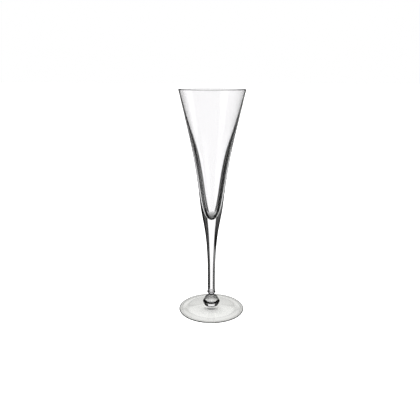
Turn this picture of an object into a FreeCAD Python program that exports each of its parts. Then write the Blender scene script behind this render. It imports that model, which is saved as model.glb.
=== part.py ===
# FreeCAD 1.1 macro: a tall trumpet-shaped champagne flute.
# Five gathers of clear glass stand one on the other along +Z: foot, button, stem collar, stem and bowl.
# Neighbours meet face to face at flat round joints. The origin is the middle of the resting plane.
# Each piece is one half outline, drawn from its own lower joint upwards and revolved about Z.
import FreeCAD, Part
import os
import Sketcher

# alias, value in mm, meaning (a flare is mm of radius gained per mm of height)
SIZES = [
    ("rim_radius", 36.0, "outside radius of the mouth"),
    ("bowl_height", 150.0, "from the stem joint to the top of the lip"),
    ("lip_wall", 1.0, "thickness of the rounded lip"),
    ("shoulder_radius", 12.6, "outline of the bowl beside the bottom of the cavity"),
    ("shoulder_rise", 19.0, "height of the shoulder above the stem joint"),
    ("shoulder_wall", 5.6, "glass at the shoulder"),
    ("belly_radius", 14.5, "outline of the slender lower bowl"),
    ("belly_rise", 42.0, "height of the belly above the stem joint"),
    ("belly_wall", 4.75, "glass at the belly"),
    ("waist_radius", 20.8, "outline of the bowl where it starts to open"),
    ("waist_rise", 83.3, "height of the waist above the stem joint"),
    ("waist_wall", 4.85, "glass at the waist"),
    ("trumpet_radius", 26.5, "outline of the bowl's upper cone"),
    ("trumpet_rise", 108.0, "height of the trumpet above the stem joint"),
    ("trumpet_wall", 2.15, "glass at the trumpet"),
    ("base_glass", 8.4, "solid glass under the cavity"),
    ("cavity_tip", 3.0, "blunt tip at the bottom of the cavity"),
    ("joint_radius", 8.75, "where the stem meets the bowl"),
    ("joint_flare", 0.17, "flare of the outline at the stem joint"),
    ("joint_reach", 10.0, "stretch of the bowl that starts with the joint's flare"),
    ("stem_radius", 4.35, "straight part of the stem"),
    ("stem_length", 78.0, "from the collar to the bowl"),
    ("flare_length", 61.5, "upper part of the stem, which widens"),
    ("flare_hold", 39.0, "stretch of the widening part that stays slim"),
    ("flare_reach", 5.5, "stretch of the stem that ends with the joint's flare"),
    ("neck_radius", 3.2, "narrow neck between the collar and the button"),
    ("collar_height", 5.2, "from the neck to the straight stem"),
    ("collar_neck", 1.2, "straight stretch above the neck joint"),
    ("collar_swell", 0.7, "how far the bead is pulled out past the stem"),
    ("collar_bead", 2.6, "height of the bead"),
    ("button_height", 13.8, "from the foot to the neck"),
    ("button_radius", 9.9, "widest edge of the button"),
    ("button_rise", 4.6, "height of the widest edge above the foot"),
    ("button_edge", 0.8, "rounding of the widest edge"),
    ("button_top", 5.9, "top shoulder of the button"),
    ("button_neck", 1.7, "height of the sweep from the top shoulder into the neck"),
    ("seat_radius", 7.8, "where the button meets the foot"),
    ("foot_radius", 37.8, "outside of the foot"),
    ("foot_rise", 5.0, "top of the foot at the button"),
    ("foot_edge", 1.3, "thickness of the foot's rounded edge"),
    ("skirt_run", 12.0, "stretch over which the foot falls away from the button"),
    ("skirt_rise", 2.7, "height of the foot's outline at the end of that stretch"),
    ("ring_width", 2.2, "flat ring that the foot stands on"),
    ("hollow_rise", 1.3, "hollow of the underside at the middle"),
    ("hollow_run", 17.0, "stretch over which the hollow comes down to the ring"),
]
H_AXIS = -1
V_AXIS = -2
START = 1
END = 2
CENTRE = 3
HALF = 0.5
ROUND_REACH = 2 / 3  # how far the poles of a rounded edge stand out, as a share of its thickness

doc = FreeCAD.newDocument("ChampagneFlute")


class Size:
    """A length from the sheet, or one worked out from several: its value and its expression."""

    def __init__(self, value, text):
        self.value = value
        self.text = text

    def __add__(self, other):
        return Size(self.value + other.value, f"({self.text} + {other.text})")

    def __sub__(self, other):
        return Size(self.value - other.value, f"({self.text} - {other.text})")

    def __mul__(self, other):
        return Size(self.value * other.value, f"({self.text} * {other.text})")

    def __truediv__(self, other):
        return Size(self.value / other.value, f"({self.text} / {other.text})")

    def part(self, share):
        return Size(self.value * share, f"({self.text} * {share})")


ZERO = Size(0.0, "0")  # a radius on the axis, or a height on the piece's lower joint


def make_sheet():
    """Put the driving dimensions in a sheet, one aliased cell each."""
    sheet = doc.addObject("Spreadsheet::Sheet", "Sizes")
    for row, (alias, value, meaning) in enumerate(SIZES, start=1):
        sheet.set(f"A{row}", meaning)
        sheet.set(f"B{row}", str(value))
        sheet.setAlias(f"B{row}", alias)
    doc.recompute()
    return {alias: Size(value, f"Sizes.{alias}") for alias, value, _ in SIZES}


size = make_sheet()


def fix_length(sketch, kind, axis, edge, point, length):
    """Hold one coordinate of a point: on the axis for zero, else at a length bound to the sheet."""
    if length is ZERO:
        sketch.addConstraint(Sketcher.Constraint("PointOnObject", edge, point, axis))
        return
    held = Sketcher.Constraint(kind, H_AXIS, START, edge, point, length.value)
    index = sketch.addConstraint(held)
    sketch.setExpression(f"Constraints[{index}]", length.text)


def fix_point(sketch, edge, point, place):
    radius, height = place
    fix_length(sketch, "DistanceX", V_AXIS, edge, point, radius)
    fix_length(sketch, "DistanceY", H_AXIS, edge, point, height)


def drawn(place):
    """A (radius, height) place as a point of the sketch."""
    radius, height = place
    return FreeCAD.Vector(radius.value, height.value)


def add_edge(sketch, places):
    """Two places make a straight edge; four or more are the poles of a smooth cubic curve."""
    points = [drawn(place) for place in places]
    if len(points) == 2:
        return sketch.addGeometry(Part.LineSegment(*points), False)
    spline = Part.BSplineCurve(points, None, None, False, 3, None, False)
    edge = sketch.addGeometry(spline, False)
    sketch.exposeInternalGeometry(edge)
    for pole, place in enumerate(places[1:-1], start=1):
        fix_point(sketch, edge + 1 + pole, CENTRE, place)
    return edge


def add_outline(body, stretches):
    """Draw a closed half outline. Each stretch starts where the last one ended, and the last one
    is followed by a straight edge down the axis."""
    sketch = body.newObject("Sketcher::SketchObject", body.Label + "_outline")
    planes = {plane.Role: plane for plane in body.Origin.OriginFeatures}
    sketch.AttachmentSupport = [(planes["XZ_Plane"], "")]
    sketch.MapMode = "FlatFace"
    first = stretches[0][0]
    last = stretches[-1][-1]
    edges = [(add_edge(sketch, places), places) for places in [*stretches, [last, first]]]
    for (edge, places), (following, _) in zip(edges, edges[1:] + edges[:1]):
        fix_point(sketch, edge, START, places[0])
        sketch.addConstraint(Sketcher.Constraint("Coincident", edge, END, following, START))
    return sketch


def add_piece(name, base, stretches):
    """A piece of glass: its half outline revolved about the vertical, with its lower joint at base."""
    body = doc.addObject("PartDesign::Body", name)
    body.Label = name
    outline = add_outline(body, stretches)
    turned = body.newObject("PartDesign::Revolution", name + "_turned")
    turned.Profile = outline
    turned.ReferenceAxis = (outline, ["V_Axis"])
    turned.Angle = 360
    outline.Visibility = False
    if base is not ZERO:
        body.setExpression("Placement.Base.z", base.text)
    return body


def away(start, target, rise):
    """The place on the straight line from start to target, a rise away from start."""
    lean = (target[0] - start[0]) / (target[1] - start[1])
    return (start[0] + lean * rise, start[1] + rise)


def add_foot():
    """A thin disc: hollow underside, flat standing ring, rounded edge, and a skirt up to the button."""
    edge = size["foot_edge"]
    ring_outside = size["foot_radius"] - edge.part(HALF)
    ring_inside = ring_outside - size["ring_width"]
    round_radius = ring_outside + edge.part(ROUND_REACH)
    hollow = size["hollow_rise"]
    return add_piece("foot", ZERO, [
        [(ZERO, hollow),
         (ring_inside - size["hollow_run"], hollow),
         (ring_inside - size["hollow_run"].part(HALF), hollow.part(HALF)),
         (ring_inside, ZERO)],
        [(ring_inside, ZERO),
         (ring_outside, ZERO)],
        [(ring_outside, ZERO),
         (round_radius, ZERO),
         (round_radius, edge),
         (ring_outside, edge)],
        [(ring_outside, edge),
         (ring_outside - size["skirt_run"], edge),
         (size["seat_radius"] + size["skirt_run"], size["skirt_rise"]),
         (size["seat_radius"], size["foot_rise"])],
        [(size["seat_radius"], size["foot_rise"]),
         (ZERO, size["foot_rise"])],
    ])


def add_button():
    """A double cone with a rounded widest edge, and a sweep from its top shoulder into the neck."""
    rounding = size["button_edge"]
    seat = (size["seat_radius"], ZERO)
    widest = (size["button_radius"], size["button_rise"])
    shoulder = (size["button_top"], size["button_height"] - size["button_neck"])
    neck = (size["neck_radius"], size["button_height"])
    lower_flank_end = away(widest, seat, ZERO - rounding)
    upper_flank_start = away(widest, shoulder, rounding)
    upper_flank_end = away(shoulder, widest, ZERO - rounding)
    return add_piece("button", size["foot_rise"], [
        [(ZERO, ZERO), seat],
        [seat, lower_flank_end],
        [lower_flank_end, widest, widest, upper_flank_start],
        [upper_flank_start, upper_flank_end],
        [upper_flank_end, shoulder, (neck[0], shoulder[1]), neck],
        [neck, (ZERO, neck[1])],
    ])


def add_stem_collar():
    """A small bead at the foot of the stem, over the narrow neck."""
    bead_radius = size["stem_radius"] + size["collar_swell"]
    bead_top = size["collar_neck"] + size["collar_bead"]
    return add_piece("stem_collar", size["foot_rise"] + size["button_height"], [
        [(ZERO, ZERO),
         (size["neck_radius"], ZERO)],
        [(size["neck_radius"], ZERO),
         (size["neck_radius"], size["collar_neck"]),
         (bead_radius, size["collar_neck"]),
         (bead_radius, bead_top),
         (size["stem_radius"], bead_top),
         (size["stem_radius"], size["collar_height"])],
        [(size["stem_radius"], size["collar_height"]),
         (ZERO, size["collar_height"])],
    ])


def add_stem():
    """A solid drawn rod: straight below, then flaring up to the bowl."""
    base = size["foot_rise"] + size["button_height"] + size["collar_height"]
    length = size["stem_length"]
    flare_start = length - size["flare_length"]
    joint_lean = size["joint_flare"] * size["flare_reach"]
    return add_piece("stem", base, [
        [(ZERO, ZERO),
         (size["stem_radius"], ZERO)],
        [(size["stem_radius"], ZERO),
         (size["stem_radius"], flare_start)],
        [(size["stem_radius"], flare_start),
         (size["stem_radius"], flare_start + size["flare_hold"]),
         (size["joint_radius"] - joint_lean, length - size["flare_reach"]),
         (size["joint_radius"], length)],
        [(size["joint_radius"], length),
         (ZERO, length)],
    ])


def add_bowl():
    """A trumpet with a solid base: outside up to the rounded lip, then down the cavity to its tip."""
    base = size["foot_rise"] + size["button_height"] + size["collar_height"] + size["stem_length"]
    lip = size["lip_wall"]
    inner_rim = size["rim_radius"] - lip
    lip_start = size["bowl_height"] - lip.part(HALF)
    lip_crest = lip_start + lip.part(ROUND_REACH)
    joint_lean = size["joint_flare"] * size["joint_reach"]
    stations = ["shoulder", "belly", "waist", "trumpet"]
    rises = [size[station + "_rise"] for station in stations]
    radii = [size[station + "_radius"] for station in stations]
    walls = [size[station + "_wall"] for station in stations]
    outside = list(zip(radii, rises))
    inside = [(radius - wall, rise) for radius, wall, rise in zip(radii, walls, rises)]
    return add_piece("bowl", base, [
        [(ZERO, ZERO),
         (size["joint_radius"], ZERO)],
        [(size["joint_radius"], ZERO),
         (size["joint_radius"] + joint_lean, size["joint_reach"]),
         *outside,
         (size["rim_radius"], lip_start)],
        [(size["rim_radius"], lip_start),
         (size["rim_radius"], lip_crest),
         (inner_rim, lip_crest),
         (inner_rim, lip_start)],
        [(inner_rim, lip_start),
         *reversed(inside),
         (size["cavity_tip"], size["base_glass"]),
         (ZERO, size["base_glass"])],
    ])


def check(body):
    """Stop if any object failed, or if the piece is not one valid solid."""
    for thing in doc.Objects:
        if "Invalid" in thing.State or "Error" in thing.State:
            raise SystemExit(f"{thing.Label} failed: {thing.State}")
    shape = body.Shape
    if shape.isNull() or not shape.isValid() or len(shape.Solids) != 1:
        raise SystemExit(f"{body.Label} is not one valid solid")


pieces = [add_foot(), add_button(), add_stem_collar(), add_stem(), add_bowl()]
doc.recompute()
os.makedirs("parts", exist_ok=True)
for piece in pieces:
    check(piece)
for piece in pieces:
    piece.Shape.exportStep(f"parts/{piece.Label}.step")
    box = piece.Shape.BoundBox
    print(f"{piece.Label}: radius {box.XMax:.2f}, from {box.ZMin:.2f} to {box.ZMax:.2f} mm")
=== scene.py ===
import bpy
import math
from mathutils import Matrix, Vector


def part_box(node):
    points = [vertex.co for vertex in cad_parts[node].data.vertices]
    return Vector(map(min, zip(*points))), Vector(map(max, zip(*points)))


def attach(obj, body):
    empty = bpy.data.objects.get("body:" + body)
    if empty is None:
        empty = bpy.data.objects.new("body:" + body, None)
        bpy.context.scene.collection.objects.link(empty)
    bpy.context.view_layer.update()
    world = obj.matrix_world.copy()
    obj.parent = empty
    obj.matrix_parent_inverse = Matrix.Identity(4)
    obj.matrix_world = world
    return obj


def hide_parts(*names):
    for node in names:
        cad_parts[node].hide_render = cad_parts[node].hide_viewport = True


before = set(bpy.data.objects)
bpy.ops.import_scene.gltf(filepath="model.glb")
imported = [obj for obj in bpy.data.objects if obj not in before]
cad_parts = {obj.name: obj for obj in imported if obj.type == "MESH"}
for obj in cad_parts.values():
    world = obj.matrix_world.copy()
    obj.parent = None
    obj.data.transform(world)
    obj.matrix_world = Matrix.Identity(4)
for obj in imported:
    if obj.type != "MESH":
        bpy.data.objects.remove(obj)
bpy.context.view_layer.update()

mm = 0.001
half = 0.5  # a rounded edge starts half its thickness further in
roundReach = 2 / 3  # and its poles stand out by this share of its thickness

# facets round the glass, steps between a curve's poles, joining distance and crease angle
turning = {
    "facets": 256, "longCurve": 20, "shortCurve": 8, "shortPoles": 4,
    "join": 0.002 * mm, "crease": 40,
}


# an outline is a list of stretches of (radius, height) places, in mm above the piece's own lower joint
def drawOutline(name, base, stretches):
    # two places make a straight stretch, more are the poles of a smooth curve
    bpy.ops.object.select_all(action="DESELECT")
    bpy.ops.curve.primitive_nurbs_path_add(location=(0, 0, 0))
    outline = bpy.context.object
    outline.name = name
    outline.data.splines.clear()
    for places in stretches:
        kind = "POLY" if len(places) == 2 else "NURBS"
        spline = outline.data.splines.new(kind)
        spline.points.add(len(places) - 1)
        for point, (radius, height) in zip(spline.points, places):
            point.co = (radius * mm, 0, base + height * mm, 1)
        if kind == "NURBS":
            short = len(places) == turning["shortPoles"]
            spline.order_u = 4
            spline.use_endpoint_u = True
            spline.resolution_u = turning["shortCurve"] if short else turning["longCurve"]
    bpy.ops.object.convert(target="MESH")
    return bpy.context.object


def turnOutline(name, base, stretches):
    piece = drawOutline(name, base, stretches)
    bpy.ops.object.mode_set(mode="EDIT")
    bpy.ops.mesh.select_all(action="SELECT")
    bpy.ops.mesh.remove_doubles(threshold=turning["join"])
    bpy.ops.mesh.select_all(action="SELECT")
    bpy.ops.mesh.spin(steps=turning["facets"], angle=math.tau, center=(0, 0, 0), axis=(0, 0, 1))
    bpy.ops.mesh.select_all(action="SELECT")
    bpy.ops.mesh.remove_doubles(threshold=turning["join"])
    bpy.ops.mesh.select_all(action="SELECT")
    bpy.ops.mesh.normals_make_consistent(inside=False)
    bpy.ops.object.mode_set(mode="OBJECT")
    bpy.ops.object.shade_smooth_by_angle(angle=math.radians(turning["crease"]))
    return piece


# stations up the bowl: outside radius, height above the stem joint and thickness of the glass there
bowlShape = {
    "height": 150.0, "rimRadius": 36.0, "lipWall": 1.0,
    "jointRadius": 8.75, "jointFlare": 0.17, "jointReach": 10.0,
    "radii": [12.6, 14.5, 20.8, 26.5],
    "rises": [19.0, 42.0, 83.3, 108.0],
    "walls": [5.6, 4.75, 4.85, 2.15],
    "baseGlass": 8.4, "cavityTip": 3.0,
}


def makeBowl():
    size = bowlShape
    lipStart = size["height"] - size["lipWall"] * half
    lipCrest = lipStart + size["lipWall"] * roundReach
    innerRim = size["rimRadius"] - size["lipWall"]
    rim = size["rimRadius"]
    joint = size["jointRadius"]
    reach = size["jointReach"]
    cavityBase = size["baseGlass"]
    outside = list(zip(size["radii"], size["rises"]))
    stations = zip(size["radii"], size["walls"], size["rises"])
    inside = [(radius - wall, rise) for radius, wall, rise in stations]
    return turnOutline("bowlGlass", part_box("bowl")[0].z, [
        [(0, 0), (joint, 0)],
        [(joint, 0), (joint + size["jointFlare"] * reach, reach), *outside, (rim, lipStart)],
        [(rim, lipStart), (rim, lipCrest), (innerRim, lipCrest), (innerRim, lipStart)],
        [(innerRim, lipStart), *reversed(inside), (size["cavityTip"], cavityBase), (0, cavityBase)],
    ])


# the straight rod is cut into short parts so that its facets stay well shaped
stemShape = {
    "length": 78.0, "radius": 4.35, "flareLength": 61.5, "flareHold": 39.0, "flareReach": 5.5,
    "parts": 12,
}


def makeStem():
    size = stemShape
    joint = bowlShape["jointRadius"]
    lean = bowlShape["jointFlare"] * size["flareReach"]
    flareStart = size["length"] - size["flareLength"]
    rod = [(size["radius"], flareStart * part / size["parts"]) for part in range(size["parts"] + 1)]
    return turnOutline("stemGlass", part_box("stem")[0].z, [
        [(0, 0), (size["radius"], 0)],
        *[list(pair) for pair in zip(rod, rod[1:])],
        [(size["radius"], flareStart), (size["radius"], flareStart + size["flareHold"]),
         (joint - lean, size["length"] - size["flareReach"]), (joint, size["length"])],
        [(joint, size["length"]), (0, size["length"])],
    ])


collarShape = {"height": 5.2, "neckRadius": 3.2, "neck": 1.2, "swell": 0.7, "bead": 2.6}


def makeCollar():
    size = collarShape
    stemRadius = stemShape["radius"]
    bead = stemRadius + size["swell"]
    beadTop = size["neck"] + size["bead"]
    return turnOutline("collarGlass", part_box("stem_collar")[0].z, [
        [(0, 0), (size["neckRadius"], 0)],
        [(size["neckRadius"], 0), (size["neckRadius"], size["neck"]), (bead, size["neck"]), (bead, beadTop),
         (stemRadius, beadTop), (stemRadius, size["height"])],
        [(stemRadius, size["height"]), (0, size["height"])],
    ])


def away(start, target, rise):
    # the place on the line from start to target, a rise away from start
    lean = (target[0] - start[0]) / (target[1] - start[1])
    return (start[0] + lean * rise, start[1] + rise)


buttonShape = {
    "height": 13.8, "seatRadius": 7.8, "radius": 9.9, "rise": 4.6, "edge": 0.8,
    "top": 5.9, "neck": 1.7,
}


def makeButton():
    size = buttonShape
    neck = (collarShape["neckRadius"], size["height"])
    seat = (size["seatRadius"], 0)
    widest = (size["radius"], size["rise"])
    shoulder = (size["top"], size["height"] - size["neck"])
    lowerEnd = away(widest, seat, -size["edge"])
    upperStart = away(widest, shoulder, size["edge"])
    upperEnd = away(shoulder, widest, -size["edge"])
    return turnOutline("buttonGlass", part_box("button")[0].z, [
        [(0, 0), seat],
        [seat, lowerEnd],
        [lowerEnd, widest, widest, upperStart],
        [upperStart, upperEnd],
        [upperEnd, shoulder, (neck[0], shoulder[1]), neck],
        [neck, (0, size["height"])],
    ])


footShape = {
    "radius": 37.8, "rise": 5.0, "edge": 1.3, "skirtRun": 12.0, "skirtRise": 2.7,
    "ring": 2.2, "hollow": 1.3, "hollowRun": 17.0,
}


def makeFoot():
    size = footShape
    seat = buttonShape["seatRadius"]
    ringOutside = size["radius"] - size["edge"] * half
    ringInside = ringOutside - size["ring"]
    roundRadius = ringOutside + size["edge"] * roundReach
    return turnOutline("footGlass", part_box("foot")[0].z, [
        [(0, size["hollow"]), (ringInside - size["hollowRun"], size["hollow"]),
         (ringInside - size["hollowRun"] * half, size["hollow"] * half), (ringInside, 0)],
        [(ringInside, 0), (ringOutside, 0)],
        [(ringOutside, 0), (roundRadius, 0), (roundRadius, size["edge"]), (ringOutside, size["edge"])],
        [(ringOutside, size["edge"]), (ringOutside - size["skirtRun"], size["edge"]),
         (seat + size["skirtRun"], size["skirtRise"]), (seat, size["rise"])],
        [(seat, size["rise"]), (0, size["rise"])],
    ])


pieces = {
    "bowl": makeBowl(), "stem": makeStem(), "stem_collar": makeCollar(),
    "button": makeButton(), "foot": makeFoot(),
}
print("pieces turned:", {name: len(piece.data.polygons) for name, piece in pieces.items()})


def socketValue(tree, socket, value):
    if isinstance(value, bpy.types.NodeSocket):
        tree.links.new(value, socket)
    else:
        socket.default_value = value


def mathNode(tree, operation, *values):
    node = tree.nodes.new("ShaderNodeMath")
    node.operation = operation
    for socket, value in zip(node.inputs, values):
        socketValue(tree, socket, value)
    return node.outputs[0]


def rampNode(tree, factor, stops):
    node = tree.nodes.new("ShaderNodeValToRGB")
    tree.links.new(factor, node.inputs["Fac"])
    elements = node.color_ramp.elements
    while len(elements) < len(stops):
        elements.new(0.5)
    for element, (place, value) in zip(elements, stops):
        element.position = place
        element.color = (value, value, value, 1)
    return node.outputs["Color"]


def rangeNode(tree, value, fromLow, fromHigh, toLow=0.0, toHigh=1.0):
    node = tree.nodes.new("ShaderNodeMapRange")
    node.interpolation_type = "SMOOTHSTEP"
    for name, given in (("Value", value), ("From Min", fromLow), ("From Max", fromHigh),
                        ("To Min", toLow), ("To Max", toHigh)):
        socketValue(tree, node.inputs[name], given)
    return node.outputs["Result"]


def noiseNode(tree, place, scale, detail):
    node = tree.nodes.new("ShaderNodeTexNoise")
    node.inputs["Scale"].default_value = scale
    node.inputs["Detail"].default_value = detail
    tree.links.new(place, node.inputs["Vector"])
    return node.outputs["Fac"]


def shade(tree, color, factor):
    node = tree.nodes.new("ShaderNodeVectorMath")
    node.operation = "SCALE"
    tree.links.new(color, node.inputs[0])
    socketValue(tree, node.inputs["Scale"], factor)
    return node.outputs[0]


def newMaterial(name):
    material = bpy.data.materials.new(name)
    material.use_nodes = True
    return material, material.node_tree.nodes["Principled BSDF"]


# the surface that hand work leaves: slow waves of turning, faint smears a few mm wide, and a worn grain
handWork = {
    "waveScale": (60, 60, 22), "waveDetail": 1.0, "waveHeight": 0.2 * mm,
    "grainScale": 1400, "grainDetail": 3.0, "grainHeight": 0.03, "wornWave": 0.8,
    "smearScale": 160, "smearDetail": 4.0, "smearFrom": 0.45, "smearTo": 0.75, "smearDull": 0.012,
    "frostFrom": 0.3, "frostTo": 0.6, "frostLeast": 0.25, "frostMost": 0.5,
}


def glassGroup():
    work = handWork
    group = bpy.data.node_groups.new("handmadeGlassWithPaintedShade", "ShaderNodeTree")
    for name in ("Facing", "Start", "End", "Darkest", "Wave", "Wear"):
        group.interface.new_socket(name=name, in_out="INPUT", socket_type="NodeSocketFloat")
    group.interface.new_socket(name="Tint", in_out="INPUT", socket_type="NodeSocketColor")
    group.interface.new_socket(name="Color", in_out="OUTPUT", socket_type="NodeSocketColor")
    group.interface.new_socket(name="Roughness", in_out="OUTPUT", socket_type="NodeSocketFloat")
    group.interface.new_socket(name="Normal", in_out="OUTPUT", socket_type="NodeSocketVector")
    given = group.nodes.new("NodeGroupInput").outputs
    end = group.nodes.new("NodeGroupOutput").inputs
    place = group.nodes.new("ShaderNodeTexCoord").outputs["Object"]

    # waves drawn out up the glass, and the grain where it is worn
    stretch = group.nodes.new("ShaderNodeMapping")
    stretch.inputs["Scale"].default_value = work["waveScale"]
    group.links.new(place, stretch.inputs["Vector"])
    waves = noiseNode(group, stretch.outputs["Vector"], 1.0, work["waveDetail"])
    grain = noiseNode(group, place, work["grainScale"], work["grainDetail"])
    worn = mathNode(group, "MULTIPLY", grain, given["Wear"])
    worn = mathNode(group, "MULTIPLY", worn, work["grainHeight"])
    wornWave = mathNode(group, "MULTIPLY", given["Wear"], work["wornWave"])
    bump = group.nodes.new("ShaderNodeBump")
    bump.inputs["Distance"].default_value = work["waveHeight"]
    group.links.new(mathNode(group, "MAXIMUM", given["Wave"], wornWave), bump.inputs["Strength"])
    group.links.new(mathNode(group, "ADD", waves, worn), bump.inputs["Height"])
    group.links.new(bump.outputs["Normal"], end["Normal"])

    # smears in the polish, and frosting where the glass is worn
    smears = noiseNode(group, place, work["smearScale"], work["smearDetail"])
    polish = rangeNode(group, smears, work["smearFrom"], work["smearTo"], 0.0, work["smearDull"])
    frost = rangeNode(group, grain, work["frostFrom"], work["frostTo"],
                      work["frostLeast"], work["frostMost"])
    frost = mathNode(group, "MULTIPLY", frost, given["Wear"])
    group.links.new(mathNode(group, "ADD", polish, frost), end["Roughness"])

    # painted shade: the base colour darkens where the glass is seen edge on, standing in for the dark edges
    # of thick glass
    clear = rangeNode(group, given["Facing"], given["Start"], given["End"], 1.0, given["Darkest"])
    group.links.new(shade(group, given["Tint"], clear), end["Color"])
    return group


glass = glassGroup()
faintTint = (0.998, 0.994, 1.0)
glassIor = 1.5
evenFacing = 0.5  # Layer Weight's blend for a facing value that grows evenly towards the edge


# glass whose base colour carries the group's painted edge shade
def clearGlass(name, look):
    material, shader = newMaterial(name)
    tree = material.node_tree
    shader.inputs["IOR"].default_value = glassIor
    shader.inputs["Transmission Weight"].default_value = 1
    weight = tree.nodes.new("ShaderNodeLayerWeight")
    weight.inputs["Blend"].default_value = evenFacing
    node = tree.nodes.new("ShaderNodeGroup")
    node.node_tree = glass
    node.inputs["Tint"].default_value = (*look["tintAndShade"], 1)
    node.inputs["Wave"].default_value = look["wave"]
    tree.links.new(weight.outputs["Facing"], node.inputs["Facing"])
    tree.links.new(node.outputs["Color"], shader.inputs["Base Color"])
    tree.links.new(node.outputs["Roughness"], shader.inputs["Roughness"])
    tree.links.new(node.outputs["Normal"], shader.inputs["Normal"])
    return material, node


# painted edge shade: the base colour darkens from the start to the end facing value, down to the darkest
# share of the light
def darkEdge(tree, node, start, end, darkest):
    for name, value in (("Start", start), ("End", end), ("Darkest", darkest)):
        socketValue(tree, node.inputs[name], value)


def darken(tree, share):
    # painted shade: scale the base colour by this share on top of the painted edge shade
    base = tree.nodes["Principled BSDF"].inputs["Base Color"]
    tree.links.new(shade(tree, base.links[0].from_socket, share), base)


def placeOnGlass(tree):
    split = tree.nodes.new("ShaderNodeSeparateXYZ")
    tree.links.new(tree.nodes.new("ShaderNodeTexCoord").outputs["Object"], split.inputs[0])
    return split.outputs


# in the dictionaries of looks, heights above the table and radii are in metres
# start, end and darkest set the painted edge shade of each piece
stemLook = {"start": 0.16, "end": 0.3, "darkest": 0.06, "tintAndShade": faintTint, "wave": 0.15}
# painted shade: the collar's grey tint darkens the whole bead
collarLook = {"start": 0.06, "end": 0.32, "darkest": 0.12, "tintAndShade": (0.8, 0.79, 0.81), "wave": 0.2}


# glass with only the painted edge shade
def plainGlass(name, look):
    material, node = clearGlass(name, look)
    darkEdge(material.node_tree, node, look["start"], look["end"], look["darkest"])
    return material


# heights and the share of colour left for the lip's painted shade, and the top of the cavity
lipLook = {"from": 0.2506, "to": 0.2513, "clear": 0.6, "crest": 0.2514}


def darkLip(tree, height):
    # painted shade: the rounded lip is darkened in its colour, standing in for the dark of the room it
    # gathers
    darken(tree, rangeNode(tree, height, lipLook["from"], lipLook["to"], 1.0, lipLook["clear"]))


# start and end of the painted edge shade go from the thick glass low down to the thin glass at the top
bowlLook = {
    "solidBelow": 0.106, "hollowAbove": 0.126, "hollowDarkest": 0.5,
    "thickBelow": 0.13, "thinAbove": 0.235, "start": (0.2, 0.72), "end": (0.36, 0.92),
    "tintAndShade": faintTint, "wave": 0.1,
}


def thinning(tree, height, look, name):
    thick, thin = look[name]
    return rangeNode(tree, height, look["thickBelow"], look["thinAbove"], thick, thin)


def bowlGlass():
    # painted shade: the solid root of the bowl is darkened towards its sides like the stem
    look = bowlLook
    material, node = clearGlass("bowlCrystal", look)
    tree = material.node_tree
    height = placeOnGlass(tree)["Z"]
    darkest = rangeNode(tree, height, look["solidBelow"], look["hollowAbove"],
                        stemLook["darkest"], look["hollowDarkest"])
    start = thinning(tree, height, look, "start")
    end = thinning(tree, height, look, "end")
    darkEdge(tree, node, start, end, darkest)
    darkLip(tree, height)
    return material


cavityLook = {
    "thickBelow": 0.15, "thinAbove": 0.225, "start": (0.45, 0.75), "end": (0.57, 0.9), "darkest": 0.02,
    "tipFrom": 0.1155, "tipTo": 0.1185, "tipPaintedShade": 0.18, "tintAndShade": faintTint, "wave": 0.1,
}


def cavityGlass():
    # painted shade: the inside of the bowl is darkened where it is seen edge on, the more so where the wall
    # is thick
    look = cavityLook
    material, node = clearGlass("cavityCrystal", look)
    tree = material.node_tree
    height = placeOnGlass(tree)["Z"]
    start = thinning(tree, height, look, "start")
    end = thinning(tree, height, look, "end")
    darkEdge(tree, node, start, end, look["darkest"])
    # painted shade: the hollow is darker near its tip at the bottom
    darken(tree, rangeNode(tree, height, look["tipFrom"], look["tipTo"], look["tipPaintedShade"], 1.0))
    darkLip(tree, height)
    return material


# painted edge shade, weaker low down, and painted shade into the neck
buttonLook = {
    "start": 0.1, "end": 0.42, "lowBelow": 0.009, "lowAbove": 0.0125, "lowDarkest": 0.7, "darkest": 0.08,
    "neckFrom": 0.0125, "neckTo": 0.0158, "neckPaintedShade": 0.2, "tintAndShade": faintTint, "wave": 0.25,
}


def buttonGlass():
    # painted shade: the sweep from the shoulder into the neck is darkened in colour, standing in for the
    # dark of the room it gathers
    look = buttonLook
    material, node = clearGlass("buttonCrystal", look)
    tree = material.node_tree
    height = placeOnGlass(tree)["Z"]
    darkest = rangeNode(tree, height, look["lowBelow"], look["lowAbove"],
                        look["lowDarkest"], look["darkest"])
    darkEdge(tree, node, look["start"], look["end"], darkest)
    darken(tree, rangeNode(tree, height, look["neckFrom"], look["neckTo"], 1.0, look["neckPaintedShade"]))
    return material


# the foot's tint is partly its own warm cast and partly painted shade, a tenth darker; the edge values set
# its painted edge line
footLook = {
    "start": 0.9, "end": 1.0, "darkest": 0.6, "tintAndShade": (0.902, 0.905, 0.88), "wave": 0.3,
    "edgeFrom": 0.0364, "edgeTo": 0.0372, "edgePaintedShade": 0.3, "wornTop": 0.0001,
}


def footGlass():
    # painted shade: the rounded edge is painted as a darker line and the glass darkens edge on; the ring it
    # stands on is worn dull
    look = footLook
    material, node = clearGlass("footCrystal", look)
    tree = material.node_tree
    place = placeOnGlass(tree)
    square = mathNode(tree, "ADD", mathNode(tree, "POWER", place["X"], 2.0),
                      mathNode(tree, "POWER", place["Y"], 2.0))
    radius = mathNode(tree, "SQRT", square)
    darkEdge(tree, node, look["start"], look["end"], look["darkest"])
    darken(tree, rangeNode(tree, radius, look["edgeFrom"], look["edgeTo"], 1.0, look["edgePaintedShade"]))
    tree.links.new(mathNode(tree, "LESS_THAN", place["Z"], look["wornTop"]), node.inputs["Wear"])
    return material


def fusedJoint():
    # the flat ends are clear, so that the pieces look melted into one
    material, shader = newMaterial("fusedJoint")
    shader.inputs["Alpha"].default_value = 0
    return material


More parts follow.
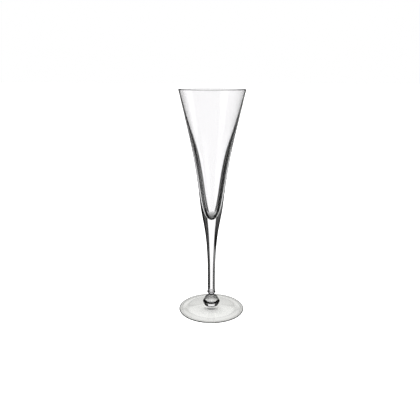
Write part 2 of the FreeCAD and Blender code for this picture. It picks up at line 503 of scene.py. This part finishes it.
crystal = {
    "stem": plainGlass("stemCrystal", stemLook), "stem_collar": plainGlass("collarCrystal", collarLook),
    "bowl": bowlGlass(), "button": buttonGlass(), "foot": footGlass(),
}
jointMaterial = fusedJoint()
jointHeights = [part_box(name)[1].z for name in ("foot", "button", "stem_collar", "stem")]
jointSlot = 1
cavitySlot = 2
level = 0.999  # a face whose normal stands at least this straight up or down is level
jointNear = 0.01 * mm


def isJoint(face):
    near = any(abs(face.center.z - height) < jointNear for height in jointHeights)
    return near and abs(face.normal.z) > level


def isCavity(face):
    inward = face.normal.x * face.center.x + face.normal.y * face.center.y < 0
    return face.center.z < lipLook["crest"] and (inward or face.normal.z > level)


def dressPiece(node, piece):
    materials = piece.data.materials
    materials.clear()
    materials.append(crystal[node])
    materials.append(jointMaterial)
    if node == "bowl":
        materials.append(cavityGlass())
    for face in piece.data.polygons:
        if isJoint(face):
            face.material_index = jointSlot
        elif node == "bowl" and isCavity(face):
            face.material_index = cavitySlot
    piece.visible_shadow = False


for node, piece in pieces.items():
    dressPiece(node, piece)
    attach(piece, "root")
    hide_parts(node)
print("glass set on", len(pieces), "pieces")

# a wide white floor that glows a little past its light, so that no edge shows against the backdrop
floorLook = {"size": 40, "paint": (0.9, 0.9, 0.9), "glow": 1.0}
bpy.ops.object.select_all(action="DESELECT")
bpy.ops.mesh.primitive_plane_add(size=floorLook["size"], location=(0, 0, 0))
floor = bpy.context.object
floor.name = "paleFloor"
palePaint, paleShader = newMaterial("palePaint")
paleShader.inputs["Base Color"].default_value = (*floorLook["paint"], 1)
paleShader.inputs["Emission Color"].default_value = (1, 1, 1, 1)
paleShader.inputs["Emission Strength"].default_value = floorLook["glow"]
floor.data.materials.append(palePaint)
floor.visible_transmission = False
floor.visible_glossy = False
print("floor laid")

# across a board, in degrees off its heading: white to whiteHalf, grey to greyTo and dark from darkFrom on
# up and down, in degrees of climb: soft edges, and narrower below fullAbove, most of all below narrowBelow
boardLight = {
    "white": 1.13, "whiteHalf": 16.5, "greyFrom": 20.0, "grey": 0.05, "greyTo": 34.0, "greyFade": 0.9,
    "darkFrom": 48.0, "darkLift": 1.3, "dark": 0.006, "lowEdge": 2.5, "highEdge": 2.0,
    "narrowBelow": -24.0, "fullAbove": -14.0, "lowNarrow": 1.25,
}
halfTurn = 180.0


def boardGroup():
    spread = boardLight
    group = bpy.data.node_groups.new("lightBoard", "ShaderNodeTree")
    for name in ("Compass", "Climb", "Heading", "Lowest", "Highest", "Strength"):
        group.interface.new_socket(name=name, in_out="INPUT", socket_type="NodeSocketFloat")
    group.interface.new_socket(name="Glow", in_out="OUTPUT", socket_type="NodeSocketFloat")
    given = group.nodes.new("NodeGroupInput").outputs
    end = group.nodes.new("NodeGroupOutput").inputs
    off = mathNode(group, "SUBTRACT", given["Compass"], given["Heading"])
    off = mathNode(group, "ABSOLUTE", mathNode(group, "WRAP", off, halfTurn, -halfTurn))
    narrow = rangeNode(group, given["Climb"], spread["narrowBelow"], spread["fullAbove"],
                       spread["lowNarrow"], 1.0)
    share = mathNode(group, "DIVIDE", mathNode(group, "MULTIPLY", off, narrow), halfTurn)
    glow = rampNode(group, share, [
        (spread["whiteHalf"] / halfTurn, spread["white"]),
        (spread["greyFrom"] / halfTurn, spread["grey"]),
        (spread["greyTo"] / halfTurn, spread["grey"] * spread["greyFade"]),
        (spread["darkFrom"] / halfTurn, spread["dark"] * spread["darkLift"]),
        (1.0, spread["dark"]),
    ])
    lowFrom = mathNode(group, "SUBTRACT", given["Lowest"], spread["lowEdge"])
    lowTo = mathNode(group, "ADD", given["Lowest"], spread["lowEdge"])
    low = rangeNode(group, given["Climb"], lowFrom, lowTo)
    highFrom = mathNode(group, "SUBTRACT", given["Highest"], spread["highEdge"])
    highTo = mathNode(group, "ADD", given["Highest"], spread["highEdge"])
    high = rangeNode(group, given["Climb"], highFrom, highTo, 1.0, 0.0)
    shown = mathNode(group, "MULTIPLY", mathNode(group, "MULTIPLY", glow, given["Strength"]),
                     mathNode(group, "MULTIPLY", low, high))
    group.links.new(mathNode(group, "MAXIMUM", shown, spread["dark"]), end["Glow"])
    return group


world = bpy.data.worlds.new("studio")
bpy.context.scene.world = world
world.use_nodes = True
studio = world.node_tree
studio.nodes.clear()
output = studio.nodes.new("ShaderNodeOutputWorld")
background = studio.nodes.new("ShaderNodeBackground")
studio.links.new(background.outputs[0], output.inputs[0])
direction = studio.nodes.new("ShaderNodeSeparateXYZ")
studio.links.new(studio.nodes.new("ShaderNodeTexCoord").outputs["Generated"], direction.inputs[0])
degree = halfTurn / math.pi
left = mathNode(studio, "MULTIPLY", direction.outputs["X"], -1.0)
compass = mathNode(studio, "MULTIPLY", mathNode(studio, "ARCTAN2", left, direction.outputs["Y"]), degree)
climb = mathNode(studio, "MULTIPLY", mathNode(studio, "ARCSINE", direction.outputs["Z"]), degree)
lightPath = studio.nodes.new("ShaderNodeLightPath").outputs
board = boardGroup()


def addBoard(compassSocket, heading, lowest, highest, strength):
    node = studio.nodes.new("ShaderNodeGroup")
    node.node_tree = board
    for name, value in (("Compass", compassSocket), ("Climb", climb), ("Heading", heading),
                        ("Lowest", lowest), ("Highest", highest), ("Strength", strength)):
        socketValue(studio, node.inputs[name], value)
    return node.outputs["Glow"]


# each board: compass heading, lowest and highest climb in degrees, brightness, and which light reaches it
# boards stand at four headings only, so from between them the glass looks darker
boards = [
    (0.0, -27.3, 7.0, 1.0, "any"),
    (90.0, -33.0, 3.0, 1.0, "any"),
    (-135.0, -33.0, 8.0, 1.0, "any"),
    (45.0, -33.0, -14.0, 1.0, "straight"),
    (45.0, -7.0, 0.0, 0.2, "straight"),
    (0.0, 6.0, 24.0, 0.6, "straight"),
    (0.0, 13.5, 21.0, 1.0, "straight"),
    (90.0, 13.5, 21.0, 1.0, "straight"),
]
# the light behind the hollow bowl, the white table round the foot and the soft box overhead, by climb
studioLight = {
    "hollowDepth": 3.5, "sixteenth": 22.5, "eighthsLow": -90.0, "eighthsHigh": 21.0,
    "table": 0.99, "tableFull": -27.3, "tableEnd": -24.8, "boxFrom": 26.0, "boxFull": 40.0, "box": 0.75,
}


def studioGlow():
    soft = studioLight
    straight = mathNode(studio, "LESS_THAN", lightPath["Glossy Depth"], 0.5)  # not mirrored on its way
    glow = None
    for heading, lowest, highest, strength, kind in boards:
        light = addBoard(compass, heading, lowest, highest, strength)
        if kind == "straight":
            light = mathNode(studio, "MULTIPLY", light, straight)
        glow = light if glow is None else mathNode(studio, "MAXIMUM", glow, light)
    # seen through the hollow bowl there is a board every eighth of a turn, with dark gaps between
    hollow = mathNode(studio, "GREATER_THAN", lightPath["Transmission Depth"], soft["hollowDepth"])
    within = mathNode(studio, "WRAP", compass, soft["sixteenth"], -soft["sixteenth"])
    eighths = addBoard(within, 0.0, soft["eighthsLow"], soft["eighthsHigh"], 1.0)
    through = mathNode(studio, "MULTIPLY", mathNode(studio, "MULTIPLY", hollow, straight), eighths)
    table = rangeNode(studio, climb, soft["tableFull"], soft["tableEnd"], soft["table"], 0.0)
    table = mathNode(studio, "MULTIPLY", straight, table)
    overhead = rangeNode(studio, climb, soft["boxFrom"], soft["boxFull"], 0.0, soft["box"])
    glow = mathNode(studio, "MAXIMUM", glow, through)
    return mathNode(studio, "MAXIMUM", glow, mathNode(studio, "MAXIMUM", table, overhead))


# the backdrop and the light on the floor are plain white, and the glass sees the boards
surround = studio.nodes.new("ShaderNodeMix")
surround.data_type = "FLOAT"
plain = mathNode(studio, "MAXIMUM", lightPath["Is Camera Ray"], lightPath["Is Diffuse Ray"])
studio.links.new(plain, surround.inputs["Factor"])
studio.links.new(studioGlow(), surround.inputs["A"])
surround.inputs["B"].default_value = 1.0
studio.links.new(surround.outputs["Result"], background.inputs["Color"])
print("studio lit with", len(boards), "boards")

# place in metres, pitch below level and roll in degrees, lens and sensor in mm
shot = {"place": (-0.0024, -0.5309, 0.2636), "pitch": 15.11, "roll": -0.19, "lens": 42.06, "sensor": 36}
bpy.ops.object.camera_add(location=shot["place"],
                          rotation=(math.radians(90 - shot["pitch"]), math.radians(shot["roll"]), 0))
camera = bpy.context.object
camera.data.lens = shot["lens"]
camera.data.sensor_width = shot["sensor"]
bpy.context.scene.camera = camera
bpy.context.scene.view_settings.view_transform = "Standard"

# light crosses many walls of glass before it leaves
mostBounces = 24
cycles = bpy.context.scene.cycles
cycles.max_bounces = mostBounces
cycles.transmission_bounces = mostBounces
cycles.glossy_bounces = mostBounces
cycles.transparent_max_bounces = mostBounces
print("camera set")
